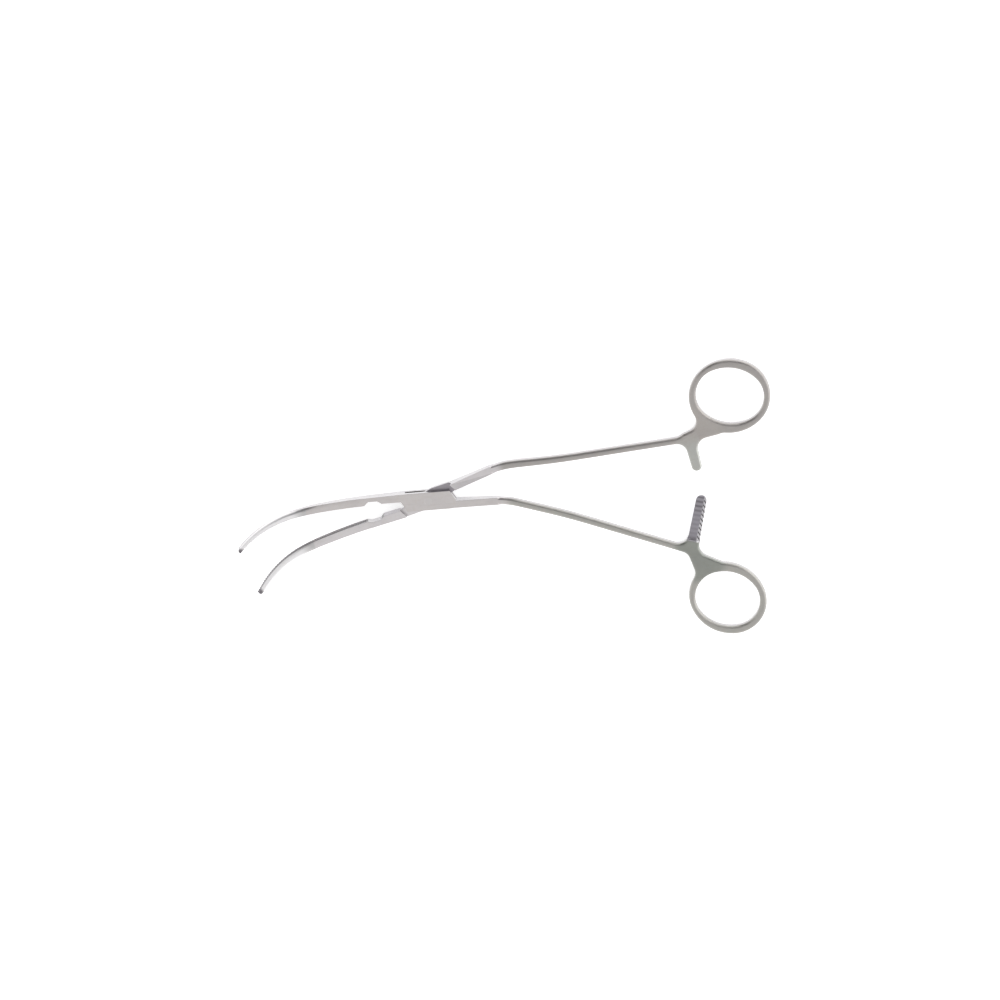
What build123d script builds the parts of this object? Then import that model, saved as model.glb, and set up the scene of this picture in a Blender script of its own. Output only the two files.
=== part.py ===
from build123d import *
from math import acos, degrees
import os

# Vascular clamp with a box lock, curved jaws, angled ring handles and a ratchet.
# Millimetres. X runs along the box lock towards the finger rings, Z points at the viewer.
# The origin is the hinge axis where it meets the back face of the box, which lies on the table.
# Both halves are drawn closed, about mid-thickness, and then set on the table and opened.

# Pose
open_angle = 13.0

# Thickness along Z
box_thickness = 5.2
handle_thickness = 3.4

# Box: a parallelogram with slanted ends, open along both long sides
box_half_height = 3.45
box_half_length = 10.4
box_end_run = 2.2
box_split = 0.3
slot_width = 1.7
slot_end_wall = 1.1
slot_radius = box_half_length - slot_end_wall

# Waist of the male half, which passes through the slot: points along its two sides
waist_clearance = 0.05
waist_front_side = [(9.2, 4.3), (2.2, 4.1), (-0.6, 3.45), (-8.3, 0.1), (-11.4, -0.45), (-13.0, -1.5)]
waist_back_side = [(-9.4, -3.65), (-2.6, -3.35), (0.9, -3.0), (8.3, -0.1), (11.4, 1.0), (13.0, 2.0)]
shoulder_gap = 1.2

# Hinge pin
pin_diameter = 3.0
pin_running_clearance = 0.04

# Line on which the jaws meet, from heel to tip: a row of tangent arcs as radius and turn
jaw_heel = (-24.4, -0.06)
jaw_slope = 2.0
jaw_arcs = [(240.0, 4.2), (78.0, 8.3), (40.0, 33.0)]
jaw_gap = 0.12

# Jaw sections at the heel, between the arcs and at the tip: width, half thickness, crown, and
# how far the face stands back, so that the jaws meet at their tips first
female_jaw_sections = [(3.0, 2.25, 0.04, 0.0), (2.9, 1.95, 0.1, 0.0), (2.75, 1.75, 0.45, 0.0), (1.65, 1.4, 0.6, 0.0)]
male_jaw_sections = [(3.5, 2.25, 0.04, 0.6), (3.2, 1.95, 0.1, 0.35), (2.9, 1.75, 0.45, 0.0), (1.6, 1.4, 0.6, 0.0)]
crown_place = 0.4
back_bevel = 0.1
back_bulge = 0.02
ridge_half_width = 0.4
ridge_height = 0.35
ridge_clearance = 0.12
tip_round = 1.0

# Fine teeth across the jaws: two rows on the female lands, one on the male ridge
serration_pitch = 1.0
serration_depth = 0.25
serration_land = 0.06
serration_half_width = 1.1
jaw_reach = 3.0

# Roots of the jaws, between the teeth and the box, with the relief notch behind the teeth
root_join = 1.5
jaw_root_end = box_half_length - root_join
notch_end = -17.8
notch_depth = 1.05
notch_run = 1.6
root_gap = 0.45

# Shanks: stations along the centre line as place and half width, and the rounding of each bend
shank_join = 1.4
shank_start = box_half_length - shank_join
female_shank = [((shank_start, -1.98), 1.35), ((29.3, -2.49), 1.35), ((52.0, -10.05), 1.33), ((99.0, -28.9), 1.3)]
male_shank = [((shank_start, 2.23), 1.4), ((30.3, 4.6), 1.5), ((51.5, 0.27), 1.33), ((101.5, -7.2), 1.25)]
bend_radii = [32.0, 260.0]
root_end = 26.0
root_run_out = 3.0
handle_edge_round = 1.0

# Finger rings: outer and inner ovals as place, half length, half width and direction
female_ring = ((109.6, -47.9), 15.1, 13.5, -38.0)
female_hole = ((109.5, -48.1), 12.4, 10.5, -24.5)
male_ring = ((120.4, 4.2), 15.4, 14.4, -10.0)
male_hole = ((120.6, 4.4), 12.9, 10.8, -28.0)

# Webs and ratchet arms: bars between two round ends, as place and radius
female_webs = [(((97.8, -27.8), 2.2), ((101.2, -35.2), 3.3)), (((101.7, -33.5), 3.1), ((110.0, -36.5), 2.0))]
female_arm = (((97.8, -27.0), 2.3), ((102.6, -9.0), 2.0))
male_webs = [(((99.5, -6.4), 1.85), ((112.0, -5.8), 3.0)), (((107.6, -4.5), 2.6), ((108.5, 0.0), 2.2))]
male_arm = (((101.0, -7.6), 2.2), ((100.4, -18.1), 1.95))
web_round = 4.0

# Ratchet: the arms pass each other in two layers, with saw teeth on their inner faces
lap_gap = 0.16
lap_clearance = 0.6
female_lap_start = 3.1
male_lap_start = 1.5
tooth_pitch = 1.8
tooth_depth = 0.9
tooth_flank = 0.25
female_teeth = 9
male_teeth = 4
arm_cut_half_width = 2.7
reach = 20.0


def closing_line():
    """The line on which the jaws meet, as one edge for each arc."""
    with BuildLine() as line:
        start = Vector(*jaw_heel)
        along = Vector(-1, 0).rotate(Axis.Z, jaw_slope)
        for radius, turn in jaw_arcs:
            arc = JernArc(start, along, radius, turn)
            start = arc @ 1
            along = arc % 1
    return line.line.edges().sort_by(Axis.X, reverse=True)


def away_from_line(run, place, side):
    """The direction from the closing line into a jaw."""
    return (run % place).cross(Vector(0, 0, side))


def jaw_section(run, place, side, width, half, crown, relief):
    """Section of a jaw: nearly flat where it meets its partner, crowned front and back."""
    along = run % place
    away = away_from_line(run, place, side)
    face = jaw_gap / 2 + relief
    # The male ridge stands proud of its face, and the female groove is cut into its own
    rim = ridge_half_width + (ridge_clearance if side > 0 else 0)
    step = ridge_height + ridge_clearance if side > 0 else -ridge_height
    with BuildSketch(Plane(run @ place, x_dir=away, z_dir=along)) as section:
        with BuildLine():
            low = half - crown
            back = half - 2 * crown - back_bevel
            front = ThreePointArc((face, low), (width * crown_place, half), (width, back))
            rear = ThreePointArc((face, -low), (width * crown_place, -half), (width, -back))
            ThreePointArc(front @ 1, (width + crown / 2 + back_bulge, 0), rear @ 1)
            Polyline(front @ 0, (face, rim), (face + step, rim / 2), (face + step, -rim / 2),
                     (face, -rim), rear @ 0)
        make_face()
    return section.sketch


def serrations(side, sizes):
    """The space in front of a jaw's fine teeth: a zigzag that follows the jaw's face."""
    zigzag = []
    behind = []
    for run, near, far in zip(closing_line(), sizes, sizes[1:]):
        grooves = round(run.length / serration_pitch)
        for step in range(2 * grooves):
            place = step / (2 * grooves)
            away = away_from_line(run, place, side)
            relief = near[-1] + (far[-1] - near[-1]) * place
            crest = jaw_gap / 2 + relief - serration_land - (ridge_height if side < 0 else 0)
            deep = step % 2 * (serration_land + serration_depth)
            zigzag.append(run @ place + away * (crest + deep))
            behind.append(run @ place - away * jaw_reach)
    with BuildPart() as space:
        with BuildSketch():
            Polygon(*zigzag, *reversed(behind), align=None)
        extrude(amount=serration_half_width, both=True)
    return space.part


def jaw(side, sizes):
    """The toothed part of a jaw, from heel to tip, above or below the closing line."""
    with BuildPart() as piece:
        for run, near, far in zip(closing_line(), sizes, sizes[1:]):
            sections = [jaw_section(run, 0, side, *near), jaw_section(run, 1, side, *far)]
            sweep(sections=sections, path=run, multisection=True)
        # Round the outer corner of the tip
        away = away_from_line(run, 1, side)
        centre = run @ 1 + away * (sizes[-1][0] - tip_round) - run % 1 * tip_round
        with BuildSketch(Plane(centre, x_dir=run % 1, z_dir=(0, 0, -side))):
            Rectangle(box_thickness, box_thickness, align=Align.MIN)
            Circle(tip_round, mode=Mode.SUBTRACT)
        extrude(amount=box_thickness, both=True, mode=Mode.SUBTRACT)
        add(serrations(side, sizes), mode=Mode.SUBTRACT)
    return piece.part


def shank_outline(stations):
    """Outline of a shank, square to its centre line at each station."""
    places = [Vector(*place) for place, half in stations]
    upper = []
    lower = []
    for count, (place, half) in enumerate(stations):
        before = places[max(count - 1, 0)]
        after = places[min(count + 1, len(places) - 1)]
        across = (after - before).normalized().rotate(Axis.Z, 90) * half
        upper.append(places[count] + across)
        lower.append(places[count] - across)
    with BuildSketch() as outline:
        with BuildLine():
            top = FilletPolyline(*upper, radius=bend_radii)
            bottom = FilletPolyline(*lower, radius=bend_radii)
            Line(top @ 0, bottom @ 0)
            Line(top @ 1, bottom @ 1)
        make_face()
    return outline.sketch


def bar(first, second):
    """A tapering bar with round ends, each side a line tangent to both ends."""
    base, base_radius = Vector(*first[0]), first[1]
    tip, tip_radius = Vector(*second[0]), second[1]
    axis = (tip - base).normalized()
    spread = degrees(acos((base_radius - tip_radius) / (tip - base).length))
    left = axis.rotate(Axis.Z, spread)
    right = axis.rotate(Axis.Z, -spread)
    with BuildSketch() as shape:
        with BuildLine():
            Line(base + left * base_radius, tip + left * tip_radius)
            ThreePointArc(tip + left * tip_radius, tip + axis * tip_radius, tip + right * tip_radius)
            Line(tip + right * tip_radius, base + right * base_radius)
            ThreePointArc(base + right * base_radius, base - axis * base_radius, base + left * base_radius)
        make_face()
    return shape.sketch


def oval(place, half_length, half_width, direction):
    """A finger ring's oval: two flatter arcs along it and a tighter arc at each end."""
    end_radius = (half_width ** 2 / half_length + half_width) / 2
    end_centre = half_length - end_radius
    spare = half_width - end_radius
    side_centre = (end_centre ** 2 - spare ** 2) / (2 * spare)
    joint = Vector(0, -side_centre) + Vector(end_centre, side_centre).normalized() * (half_width + side_centre)
    x, y = joint.X, joint.Y
    with BuildSketch(Plane(Location(place, direction))) as shape:
        with BuildLine():
            ThreePointArc((x, -y), (half_length, 0), (x, y))
            ThreePointArc((x, y), (0, half_width), (-x, y))
            ThreePointArc((-x, y), (-half_length, 0), (-x, -y))
            ThreePointArc((-x, -y), (0, -half_width), (x, -y))
        make_face()
    return shape.sketch


def handle(shank, ring, hole, webs, arm):
    """Shank, webs, finger ring and ratchet arm, with every edge rounded over."""
    with BuildPart() as piece:
        with BuildSketch() as outline:
            add(shank_outline(shank))
            add(oval(*ring))
            for web in webs:
                add(bar(*web))
            add(bar(*arm))
            # Growing and shrinking the outline rounds its inner corners
            offset(amount=web_round)
            offset(amount=-web_round)
            add(oval(*hole), mode=Mode.SUBTRACT)
        extrude(amount=handle_thickness / 2, both=True)
        rims = piece.faces().filter_by(Axis.Z).edges()
        fillet(rims.filter_by(lambda edge: edge.center().X > box_half_length), handle_edge_round)
    return piece.part


def root(side, jaw_sizes, shank):
    """Jaw root and shank root, flat in front and behind, thinner away from the box."""
    heel = closing_line()[0]
    away = away_from_line(heel, 0, side)
    width, heel_half, crown, relief = jaw_sizes[0]
    face = Vector(*jaw_heel) + away * (jaw_gap / 2 + relief)
    back = Vector(*jaw_heel) + away * width
    depth = side * (root_gap + notch_depth)
    box_half = box_thickness / 2
    handle_half = handle_thickness / 2
    with BuildPart() as piece:
        with BuildSketch():
            Polygon(face, back, (-jaw_root_end, side * box_half_height), (-jaw_root_end, side * root_gap),
                    (notch_end, side * root_gap), (notch_end - notch_run, depth),
                    (face.X + notch_run, depth), align=None)
            add(shank_outline(shank))
        extrude(amount=box_half, both=True)
        with BuildSketch(Plane.XZ):
            with BuildLine():
                Polyline((face.X - heel_half, 0), (face.X - heel_half, heel_half), (face.X, heel_half),
                         (-box_half_length, box_half),
                         (box_half_length, box_half), (root_end, handle_half),
                         (root_end + root_run_out, 0))
                mirror(about=Plane.XZ)
            make_face()
        extrude(amount=reach, both=True, mode=Mode.INTERSECT)
    return piece.part


def saw_teeth(start, along, count, side):
    """The space in front of a ratchet arm: flat at the tip, saw-toothed towards the web."""
    crest = -side * lap_gap / 2
    valley = crest - side * tooth_depth
    points = [(0, side * handle_thickness)]
    for tooth in range(count):
        points.append((tooth * tooth_pitch, crest))
        points.append(((tooth + 1) * tooth_pitch - tooth_flank, valley))
    points += [(count * tooth_pitch, crest), (reach, crest), (reach, side * handle_thickness)]
    with BuildPart() as space:
        with BuildSketch(Plane(start, x_dir=along, z_dir=along.cross(Vector(0, 0, 1)))):
            with BuildLine():
                Polyline(*points, close=True)
            make_face()
        extrude(amount=arm_cut_half_width, both=True)
    return space.part


def arm_line(arm):
    """Base of a ratchet arm and the direction along it."""
    base, tip = Vector(*arm[0][0]), Vector(*arm[1][0])
    return base, (tip - base).normalized()


# Female half: jaw, box with its slot, shank, ring and the ratchet arm that lies behind
female_jaw = jaw(1, female_jaw_sections)
female_root = root(1, female_jaw_sections, female_shank)
female_handle = handle(female_shank, female_ring, female_hole, female_webs, female_arm)
female_base, female_along = arm_line(female_arm)
female_lap = female_base + female_along * female_lap_start
female_space = saw_teeth(female_lap, female_along, female_teeth, 1)
with BuildPart() as female_closed:
    with BuildSketch():
        Polygon((-box_half_length, box_split), (-jaw_root_end, box_half_height),
                (box_half_length - box_end_run, box_half_height), (box_half_length, -box_split),
                (jaw_root_end, -box_half_height), (box_end_run - box_half_length, -box_half_height),
                align=None)
    extrude(amount=box_thickness / 2, both=True)
    add(female_root)
    add(female_handle)
    # The slot is round about the hinge and open towards each end of the waist
    with BuildSketch():
        Circle(slot_radius)
        with Locations((0, box_split)):
            Rectangle(reach, reach, align=Align.MAX)
        with Locations((0, -box_split)):
            Rectangle(reach, reach, align=Align.MIN)
    extrude(amount=slot_width / 2, both=True, mode=Mode.SUBTRACT)
    Cylinder(pin_diameter / 2, box_thickness, mode=Mode.SUBTRACT)
    add(female_space, mode=Mode.SUBTRACT)
    add(female_jaw)

# Male half: jaw, waist with its shoulders, shank, ring and the ratchet arm that lies in front
male_jaw = jaw(-1, male_jaw_sections)
male_root = root(-1, male_jaw_sections, male_shank)
male_handle = handle(male_shank, male_ring, male_hole, male_webs, male_arm)
male_base, male_along = arm_line(male_arm)
male_space = saw_teeth(male_base + male_along * male_lap_start, male_along, male_teeth, -1)
end_slope = Vector(box_end_run, -box_half_height - box_split).normalized()
end_offset = end_slope.rotate(Axis.Z, 90) * shoulder_gap
with BuildPart() as male_closed:
    add(male_root)
    add(male_handle)
    # Shoulders parallel to the ends of the box
    with BuildSketch():
        right_end = Vector(box_half_length, -box_split) + end_offset
        left_end = right_end * -1
        Polygon(right_end - end_slope * reach, right_end + end_slope * reach,
                left_end + end_slope * reach, left_end - end_slope * reach, align=None)
    extrude(amount=box_thickness, both=True, mode=Mode.SUBTRACT)
    with BuildSketch() as waist:
        Polygon(*waist_front_side, *waist_back_side, align=None)
    extrude(amount=slot_width / 2 - waist_clearance, both=True)
    Cylinder(pin_diameter / 2 + pin_running_clearance, box_thickness, mode=Mode.SUBTRACT)
    add(male_space, mode=Mode.SUBTRACT)
    # Pocket in the back of the web for the tip of the partner's arm
    with BuildSketch(Plane.XY.offset(lap_gap / 2)):
        add(bar(*[(place, radius + lap_clearance) for place, radius in female_arm]))
    extrude(amount=-handle_thickness, mode=Mode.SUBTRACT)
    add(male_jaw)

table = Vector(0, 0, box_thickness / 2)
with BuildPart() as female_half:
    add(female_closed.part.moved(Location(table)))
with BuildPart() as male_half:
    add(male_closed.part.moved(Location(table, (0, 0, open_angle))))

# Hinge pin, pressed into both walls of the box and ground flush
with BuildPart() as lock_pin:
    Cylinder(pin_diameter / 2, box_thickness, align=(Align.CENTER, Align.CENTER, Align.MIN))

os.makedirs("parts", exist_ok=True)
for name, piece in (("female_half", female_half), ("male_half", male_half), ("lock_pin", lock_pin)):
    piece.part.label = name
    export_step(piece.part, "parts/" + name + ".step")
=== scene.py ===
import math

import bpy
from mathutils import Matrix, Vector

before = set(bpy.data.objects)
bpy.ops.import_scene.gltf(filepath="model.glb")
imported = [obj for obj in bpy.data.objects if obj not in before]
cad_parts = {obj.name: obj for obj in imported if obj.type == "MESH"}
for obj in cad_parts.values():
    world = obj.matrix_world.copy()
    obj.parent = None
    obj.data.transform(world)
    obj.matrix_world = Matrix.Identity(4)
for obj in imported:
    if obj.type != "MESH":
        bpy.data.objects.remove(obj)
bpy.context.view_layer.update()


# Female half: one stainless forging with the upper jaw, the box of the lock, the lower shank,
# the lower ring and the ratchet arm behind. Box and jaw are milled and ground lengthwise, the
# handle is brushed to a duller satin, the narrow sides are polished and painted brighter as a
# highlight, and the teeth are cut last.
class Wire:
    """A socket of a shader, on which sums are written as plain expressions."""

    def __init__(self, shader, socket):
        self.shader = shader
        self.socket = socket

    def math(self, operation, first, second=0.0):
        return self.shader.node("ShaderNodeMath", {"operation": operation}, {0: first, 1: second})

    def __add__(self, other):
        return self.math("ADD", self, other)

    __radd__ = __add__

    def __sub__(self, other):
        return self.math("SUBTRACT", self, other)

    def __rsub__(self, other):
        return self.math("SUBTRACT", other, self)

    def __mul__(self, other):
        return self.math("MULTIPLY", self, other)

    __rmul__ = __mul__

    def size(self):
        return self.math("ABSOLUTE", self)

    def part(self):
        """What is left of a number past its last whole one."""
        return self.math("FRACT", self)

    def past(self, place):
        """How far it lies past a place, and 0 before it."""
        return self.math("MAXIMUM", self - place, 0.0)

    def rise(self, start, end):
        """0 before the start and 1 after the end, smoothly in between."""
        return self.shader.node("ShaderNodeMapRange", {"interpolation_type": "SMOOTHSTEP"},
                                {"Value": self, "From Min": start, "From Max": end})

    def near(self, place, reach):
        """1 at the place, falling smoothly to 0 at that reach on each side."""
        return (self - place).size().rise(reach, 0.0)


class Shader:
    """A material or world made of nodes."""

    def __init__(self, owner):
        owner.use_nodes = True
        self.tree = owner.node_tree
        self.tree.nodes.clear()

    def node(self, kind, settings, sockets, output=0):
        made = self.tree.nodes.new(kind)
        for name, value in settings.items():
            setattr(made, name, value)
        for name, value in sockets.items():
            if isinstance(value, Wire):
                self.tree.links.new(value.socket, made.inputs[name])
            else:
                made.inputs[name].default_value = value
        return Wire(self, made.outputs[output]) if len(made.outputs) else made

    def blend(self, share, first, second, how="MIX"):
        """A colour between two colours."""
        return self.node("ShaderNodeMix", {"data_type": "RGBA", "blend_type": how},
                         {0: share, 6: first, 7: second}, 2)

    def noise(self, vector, scale, detail, rough=0.5):
        return self.node("ShaderNodeTexNoise", {}, {"Vector": vector, "Scale": scale, "Detail": detail,
                                                    "Roughness": rough})

    def bump(self, normal, height, strength, distance):
        return self.node("ShaderNodeBump", {}, {"Strength": strength, "Distance": distance,
                                                "Height": height, "Normal": normal})

    def away(self, vector, place):
        """Distance from a place, in the plane of the table."""
        flat = self.node("ShaderNodeVectorMath", {"operation": "MULTIPLY"},
                         {0: vector, 1: (1.0, 1.0, 0.0)})
        return self.node("ShaderNodeVectorMath", {"operation": "DISTANCE"},
                         {0: flat, 1: (*place, 0.0)}, "Value")

    def along(self, vector, direction):
        """How far a place lies in a direction, in the plane of the table."""
        return self.node("ShaderNodeVectorMath", {"operation": "DOT_PRODUCT"},
                         {0: vector, 1: (*direction, 0.0)}, "Value")


# The line on which the jaws meet, as arcs from heel to tip: where each ends, its centre and radius
jaw_heel = Vector((-0.0244, -0.00006))
heading = math.radians(182.0)
jaw_arcs = []
arc_end = jaw_heel
for radius, turn in ((0.24, 4.2), (0.078, 8.3), (0.04, 33.0)):
    centre = arc_end + radius * Vector((-math.sin(heading), math.cos(heading)))
    heading += math.radians(turn)
    arc_end = centre + radius * Vector((math.sin(heading), -math.cos(heading)))
    jaw_arcs.append((arc_end.x, centre, radius))
jaw_tip = arc_end

# Ratchet teeth: their pitch, where the bevel on their right edge begins, and how fast it is drawn
tooth_pitch = 0.0018
tooth_bevel = 0.0009
bevel_sharpness = 3000.0

# Tones of what both halves have, from the tips of the jaws to the handle: painted highlight on the
# polished ends and walls, painted shade on the band before the ends
tip_tone = (0.2, 0.185, 0.2, 1.0)
polished_sheen_tone = (0.86, 0.85, 0.855, 1.0)
jaw_facet_shade_tone = (0.56, 0.55, 0.55, 1.0)
ground_wall_sheen_tone = (0.63, 0.62, 0.63, 1.0)
handle_wall_sheen_tone = (0.55, 0.54, 0.55, 1.0)

# Painted shade and highlight that only one half shows: shade on the notch, waist and facet of the
# male, shade and highlight on the teeth of the female
notch_wall_shade_tone = (0.38, 0.35, 0.39, 1.0)
notch_end_shadow_tone = (0.06, 0.055, 0.06, 1.0)
waist_shade_tone = (0.33, 0.31, 0.335, 1.0)
facet_shade_tone = (0.57, 0.55, 0.555, 1.0)
tooth_groove_shade_tone = (0.16, 0.15, 0.165, 1.0)
tooth_edge_highlight_tone = (0.62, 0.61, 0.63, 1.0)
tooth_stroke_shadow_tone = (0.02, 0.018, 0.022, 1.0)

# Tints of the clouds, the fine mottle and the lengthwise streaks in the brushed steel
cloud_tint = (0.84, 0.83, 0.86, 1.0)
mottle_tint = (0.9, 0.86, 0.78, 1.0)
streak_tint = (0.8, 0.8, 0.8, 1.0)


def satin_steel(name, turn, side, tones, web, arm, shank_bend, teeth_in_front, male_painted_shade, rim_shade):
    """Ground and brushed stainless steel, in the frame of a half that is turned about the hinge.

    The web is a place and the distances at which its tone begins and is full. The arm is its
    direction, its start along that, its middle line's place across it, and the run of its fade.
    """
    web_place, web_reach = web
    arm_direction, arm_start, arm_middle, arm_fade = arm
    material = bpy.data.materials.new(name)
    steel = Shader(material)
    place = steel.node("ShaderNodeTexCoord", {}, {}, "Object")
    own = steel.node("ShaderNodeMapping", {"vector_type": "TEXTURE"},
                     {"Vector": place, "Rotation": (0, 0, math.radians(turn))})
    x, y, height = (steel.node("ShaderNodeSeparateXYZ", {}, {"Vector": own}, axis) for axis in "XYZ")
    facing = steel.node("ShaderNodeTexCoord", {}, {}, "Normal")
    wall = steel.node("ShaderNodeSeparateXYZ", {}, {"Vector": facing}, "Z").size().rise(0.5, 0.15)

    # Fine scratches along the piece, and slower clouds left by the hand that brushed it
    lengthwise = steel.node("ShaderNodeMapping", {}, {"Vector": own, "Scale": (0.06, 1.0, 1.0)})
    scratches = steel.noise(lengthwise, 14000.0, 3.0, 0.6)
    streaks = steel.noise(lengthwise, 2600.0, 2.0)
    clouds = steel.noise(own, 130.0, 4.0)
    waves = steel.noise(own, 45.0, 1.0)
    mottle = steel.noise(own, 900.0, 3.0)

    # Tone of each region, from the ground box and jaws to the duller handle, web and arm
    handle = x.rise(*shank_bend)
    tone = steel.blend(handle, tones["ground"], tones["handle"])
    tone = steel.blend(steel.away(own, web_place).rise(*web_reach), tone, tones["web"])
    up_arm = steel.along(own, arm_direction) - arm_start
    across_arm = steel.along(own, (arm_direction[1], -arm_direction[0])) - arm_middle
    on_arm = up_arm.rise(-arm_fade, 0.0) * across_arm.size().rise(0.0045, 0.004)
    tone = steel.blend(on_arm, tone, tones["arm"])

    # Painted shade in the grooves between the ratchet's teeth, darker towards its tip
    groove_shade = ((up_arm - 0.00098) * (1 / tooth_pitch)).part().near(0.75, 0.45)
    groove_shade = groove_shade * (0.3 + 0.5 * up_arm.rise(0.008, 0.014))
    tone = steel.blend(groove_shade * on_arm * teeth_in_front, tone, tooth_groove_shade_tone)

    # The jaws' ends are polished and painted brighter as a highlight, past a band of painted shade
    # where their flat faces end
    tone = steel.blend(x.rise(-0.0462, -0.0467), tone, jaw_facet_shade_tone)
    tone = steel.blend(x.rise(-0.047, -0.0525), tone, polished_sheen_tone)

    # Painted shade on the recessed waist, and on the facet along the root of its shank
    facet = steel.along(own, (0.0437, 0.999)).rise(0.0042, 0.004)
    facet = facet * x.rise(0.0095, 0.0105) * x.rise(0.028, 0.024)
    tone = steel.blend(facet * male_painted_shade, tone, facet_shade_tone)
    waist = height.rise(0.0042, 0.0038) * x.rise(0.0135, 0.0125) * x.rise(0.0, 0.001)
    tone = steel.blend(waist * male_painted_shade, tone, waist_shade_tone)

    # Walls are polished, and painted brighter than the faces as a highlight
    tone = steel.blend(wall, tone, steel.blend(handle, ground_wall_sheen_tone, handle_wall_sheen_tone))

    # The male half gets painted shade on the wall between its notch and the box, and a painted shadow
    # at the end of the notch
    shaded_notch_wall = wall * y.rise(-0.0022, -0.0018) * x.rise(-0.0196, -0.0194) * x.rise(-0.0085, -0.0095)
    tone = steel.blend(shaded_notch_wall * (0.45 * male_painted_shade), tone, notch_wall_shade_tone)
    tone = steel.blend(shaded_notch_wall * x.near(-0.0184, 0.0009) * male_painted_shade, tone, notch_end_shadow_tone)

    # Painted shade where the jaws meet, measured from the arc they lie along: on the walls that carry
    # the fine teeth, and as a dark line on the faces beside it towards the tips
    depth = None
    for arc_end_x, centre, radius in jaw_arcs:
        step = (steel.away(own, centre) - radius) * side
        depth = step if depth is None else depth + (step - depth) * past_last
        past_last = x.rise(arc_end_x + 0.0001, arc_end_x - 0.0001)
    toothed = depth.rise(0.0009, 0.0004) * x.rise(-0.0235, -0.0245) * wall
    tone = steel.blend(toothed, tone, tones["teeth"])
    rim = depth.rise(0.0005, 0.0001) * x.rise(-0.045, -0.05) * (1 - wall)
    tone = steel.blend(rim * rim_shade, tone, tones["teeth"])

    # The ratchet's right edge is bevelled in relief and painted lighter as a highlight, and the teeth
    # cross it as slanting strokes of painted shadow
    bevel = across_arm.past(tooth_bevel) * on_arm * teeth_in_front
    on_bevel = bevel * bevel_sharpness
    slant = ((up_arm + across_arm * 0.9) * (1 / tooth_pitch)).part()
    stroke_shadow = slant.near(0.2, 0.3) * on_bevel.rise(0.0, 0.6) * up_arm.rise(0.0165, 0.0155)
    tone = steel.blend(on_bevel.rise(0.0, 0.5), tone, tooth_edge_highlight_tone)
    tone = steel.blend(stroke_shadow, tone, tooth_stroke_shadow_tone)

    # The tips are darker, their walls less so
    tip = steel.away(own, jaw_tip).rise(0.0026, 0.0012)
    tone = steel.blend(tip * (1 - 0.6 * wall), tone, tip_tone)

    tone = steel.blend(clouds.rise(0.35, 0.7) * 0.3, tone, cloud_tint, "MULTIPLY")
    tone = steel.blend(mottle.rise(0.45, 0.7) * 0.2, tone, mottle_tint, "MULTIPLY")
    tone = steel.blend(streaks.rise(0.5, 0.8) * 0.3, tone, streak_tint, "MULTIPLY")
    roughness = (0.26 + handle * 0.03 + on_arm * (0.14 * teeth_in_front) - wall * 0.06
                 + clouds * 0.05 + scratches * 0.06)

    # Every edge is broken by hand, most on the handle
    edge_round = 0.00022 + handle * (1 - on_arm) * 0.0011
    broken = steel.node("ShaderNodeBevel", {"samples": 6}, {"Radius": edge_round})

    # The file wore the teeth of the ratchet nearly flat
    worn_flat = 1 - on_arm * (0.85 * teeth_in_front)
    flatter = steel.node("ShaderNodeCombineXYZ", {}, {"X": worn_flat, "Y": worn_flat, "Z": 1.0})
    filed = steel.node("ShaderNodeVectorMath", {"operation": "MULTIPLY"}, {0: broken, 1: flatter})
    filed = steel.node("ShaderNodeVectorMath", {"operation": "NORMALIZE"}, {0: filed})
    sloped = steel.bump(filed, bevel * -1, 1.0, 1.0)

    # The brushed surface is never quite flat
    brushed = steel.bump(sloped, scratches * 0.5 + streaks * 0.5, 0.5, 0.00002)
    wavy = steel.bump(brushed, waves * (0.15 + handle * 0.85), 0.4, 0.0004)
    shine = steel.node("ShaderNodeBsdfPrincipled", {}, {
        "Base Color": tone, "Metallic": 1.0, "Roughness": roughness, "Normal": wavy})
    steel.node("ShaderNodeOutputMaterial", {}, {"Surface": shine})
    return material


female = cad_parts["female_half"]
female_steel = satin_steel(
    "female_satin_steel", turn=0.0, side=1.0,
    tones={"ground": (0.6, 0.57, 0.562, 1.0), "handle": (0.42, 0.41, 0.385, 1.0),
           "web": (0.3, 0.31, 0.285, 1.0), "arm": (0.38, 0.365, 0.4, 1.0),
           "teeth": (0.3, 0.28, 0.29, 1.0)},
    web=((0.1005, -0.0305), (0.012, 0.008)), arm=((0.2577, 0.9662), 0.00212, 0.10146, 0.0006),
    shank_bend=(0.0275, 0.0325), teeth_in_front=1.0, male_painted_shade=0.0, rim_shade=0.0)
female.material_slots[0].material = female_steel


# Hinge pin: a plain stainless pin, pressed into both walls of the box and ground flush with
# them, so that only a faint ring shows. Its end carries the round marks of the grinding.
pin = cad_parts["lock_pin"]
pin_metal = bpy.data.materials.new("ground_pin_steel")
ground = Shader(pin_metal)
pin_place = ground.node("ShaderNodeTexCoord", {}, {}, "Object")
pin_rings = ground.node("ShaderNodeTexWave", {"wave_type": "RINGS", "rings_direction": "Z"},
                        {"Vector": pin_place, "Scale": 1800.0, "Distortion": 1.5, "Detail": 2.0})
pin_grain = ground.noise(pin_place, 9000.0, 2.0)
pin_tone = ground.blend(pin_grain, (0.56, 0.535, 0.53, 1.0), (0.62, 0.595, 0.59, 1.0))
pin_relief = ground.node("ShaderNodeBump", {}, {
    "Strength": 0.3, "Distance": 0.00001, "Height": pin_rings})
pin_shine = ground.node("ShaderNodeBsdfPrincipled", {}, {
    "Base Color": pin_tone, "Metallic": 1.0, "Roughness": 0.28 + pin_grain * 0.08,
    "Normal": pin_relief})
ground.node("ShaderNodeOutputMaterial", {}, {"Surface": pin_shine})
pin.material_slots[0].material = pin_metal


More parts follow.
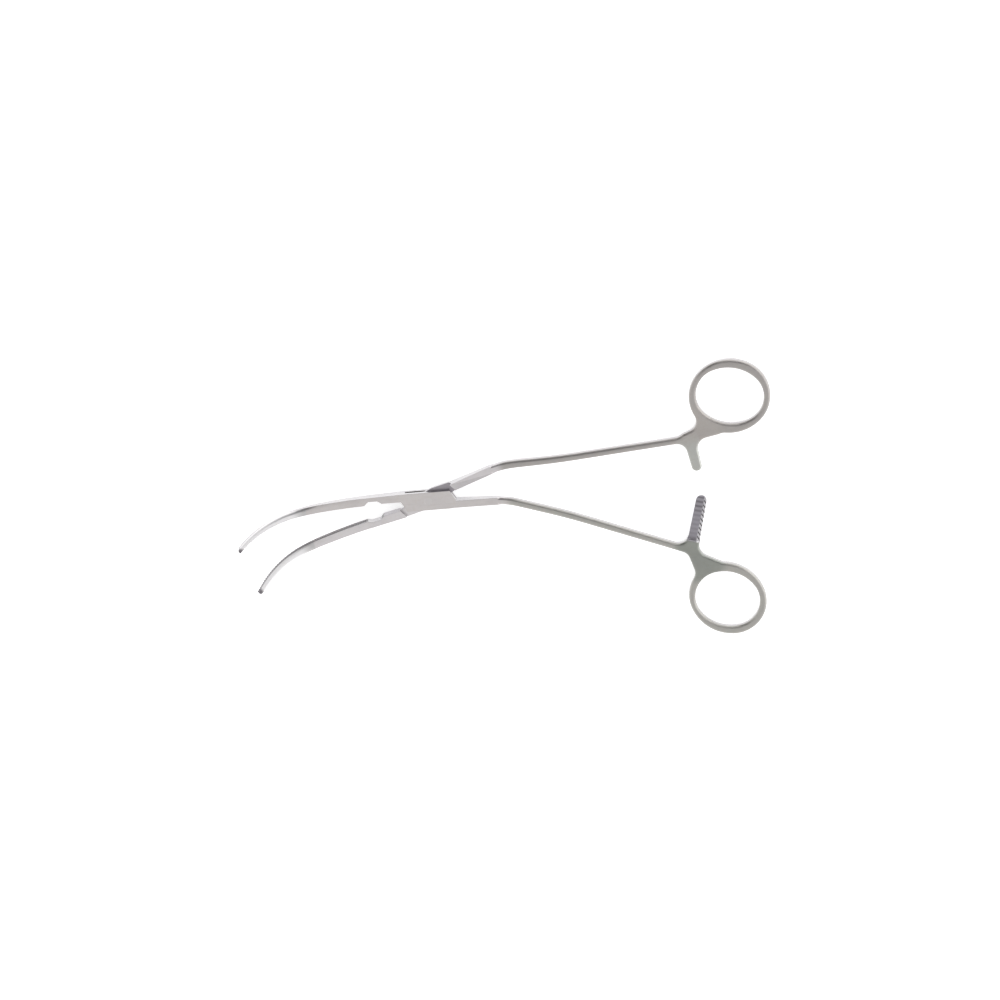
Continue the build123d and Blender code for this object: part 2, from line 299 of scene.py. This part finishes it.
# Male half: the second forging, with the lower jaw, the waist that passes through the box,
# the upper shank, the upper ring and the ratchet arm in front. It has the same finish as its
# partner, turned with it about the hinge, with a lighter web and arm.
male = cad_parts["male_half"]
male_steel = satin_steel(
    "male_satin_steel", turn=13.0, side=-1.0,
    tones={"ground": (0.66, 0.635, 0.64, 1.0), "handle": (0.41, 0.39, 0.375, 1.0),
           "web": (0.43, 0.405, 0.385, 1.0), "arm": (0.47, 0.475, 0.45, 1.0),
           "teeth": (0.1, 0.09, 0.1, 1.0)},
    web=((0.104, -0.005), (0.012, 0.007)), arm=((-0.057, -0.9984), 0.0065, -0.1004, 0.008),
    shank_bend=(0.0275, 0.0315), teeth_in_front=0.0, male_painted_shade=1.0, rim_shade=0.6)
male.material_slots[0].material = male_steel


# Table: a white sheet of laminate that the clamp lies on. It reaches far past the picture, and
# shows plain white in it, with the clamp's own soft shadow kept.
bpy.ops.object.select_all(action="DESELECT")
table_drop = 0.00005
bpy.ops.mesh.primitive_plane_add(size=12.0, location=(0.0, 0.0, -table_drop))
table = bpy.context.object
table.name = "table_top"
table_finish = bpy.data.materials.new("white_laminate")
laminate = Shader(table_finish)
table_diffuse = laminate.node("ShaderNodeBsdfDiffuse", {}, {"Color": (0.84, 0.84, 0.84, 1.0)})
seen = laminate.node("ShaderNodeLightPath", {}, {}, "Is Camera Ray")
mirrored = laminate.node("ShaderNodeLightPath", {}, {}, "Is Glossy Ray")
through = laminate.node("ShaderNodeLightPath", {}, {}, "Is Transmission Ray")
table_glow = laminate.node("ShaderNodeEmission", {}, {
    "Color": (1.0, 1.0, 1.0, 1.0), "Strength": (seen + mirrored + through) * 0.55})
table_sum = laminate.node("ShaderNodeAddShader", {}, {0: table_diffuse, 1: table_glow})
laminate.node("ShaderNodeOutputMaterial", {}, {"Surface": table_sum})
table.data.materials.append(table_finish)


# Light: a pale room with a long window low on the right and behind. Two dark cards, which the
# camera doesn't see, draw the dark lines along rounded edges, as in any picture of bright steel:
# a small one stands low behind the box lock, and a large one hangs high behind the clamp.
room = bpy.data.worlds.new("pale_room")
bpy.context.scene.world = room
air = Shader(room)
look = air.node("ShaderNodeTexCoord", {}, {}, "Generated")
height = air.node("ShaderNodeSeparateXYZ", {}, {"Vector": look}, "Z")
glow = air.blend(height.rise(0.2, 0.9), (1.0, 1.0, 1.0, 1.0), (0.9, 0.9, 0.9, 1.0))
sky = air.node("ShaderNodeBackground", {}, {"Color": glow, "Strength": 1.0})
air.node("ShaderNodeOutputWorld", {}, {"Surface": sky})

lamp = bpy.data.lights.new("window", "AREA")
lamp.shape = "RECTANGLE"
lamp.size = 4.0
lamp.size_y = 1.0
lamp.energy = 15.0
holder = bpy.data.objects.new("window", lamp)
bpy.context.scene.collection.objects.link(holder)
holder.location = (0.9, 0.63, 0.5)
above_clamp = Vector((0.0, 0.0, 0.5))
holder.rotation_euler = (above_clamp - holder.location).to_track_quat("-Z", "Y").to_euler()
holder.visible_camera = False

card_finish = bpy.data.materials.new("dark_card")
card_paint = Shader(card_finish)
card_place = card_paint.node("ShaderNodeTexCoord", {}, {}, "Object")
card_grain = card_paint.noise(card_place, 300.0, 2.0)
card_tone = card_paint.blend(card_grain, (0.11, 0.105, 0.115, 1.0), (0.13, 0.125, 0.135, 1.0))
card_diffuse = card_paint.node("ShaderNodeBsdfDiffuse", {}, {"Color": card_tone})
card_paint.node("ShaderNodeOutputMaterial", {}, {"Surface": card_diffuse})
for name, place, width, tall in (("low_card", (0.01, 0.17, 0.08), 0.13, 0.16),
                                 ("high_card", (0.1, 0.62, 0.85), 1.4, 0.85)):
    bpy.ops.object.select_all(action="DESELECT")
    bpy.ops.mesh.primitive_plane_add(size=1.0)
    card = bpy.context.object
    card.name = name
    card.scale = (width, tall, 1.0)
    card.location = place
    card.rotation_euler = Vector(place).to_track_quat("Z", "Y").to_euler()
    card.data.materials.append(card_finish)
    card.visible_camera = False
    card.visible_shadow = False
    card.visible_diffuse = False


# Camera: a long lens above the table, leaning 16 degrees towards the upper side of the
# picture and turned by 5 degrees, as the photograph was taken.
camera_data = bpy.data.cameras.new("camera")
camera = bpy.data.objects.new("camera", camera_data)
bpy.context.scene.collection.objects.link(camera)
bpy.context.scene.camera = camera
wall_share_seen = 0.28
lean = math.asin(wall_share_seen)
aim = Vector((0.0269, -0.0017, 0.0052))
camera_turn = Matrix.Rotation(math.radians(-4.79), 3, "Z")
across = camera_turn @ Vector((1.0, 0.0, 0.0))
upward = camera_turn @ Vector((0.0, math.cos(lean), -math.sin(lean)))
towards = camera_turn @ Vector((0.0, math.sin(lean), math.cos(lean)))
seen_width = 0.37736
camera_data.lens = 400.0
camera_data.sensor_width = 36.0
distance = seen_width * camera_data.lens / camera_data.sensor_width
camera.matrix_world = (Matrix.Translation(aim + towards * distance)
                       @ Matrix((across, upward, towards)).transposed().to_4x4())
camera_data.clip_end = 100.0
bpy.context.scene.view_settings.view_transform = "Standard"
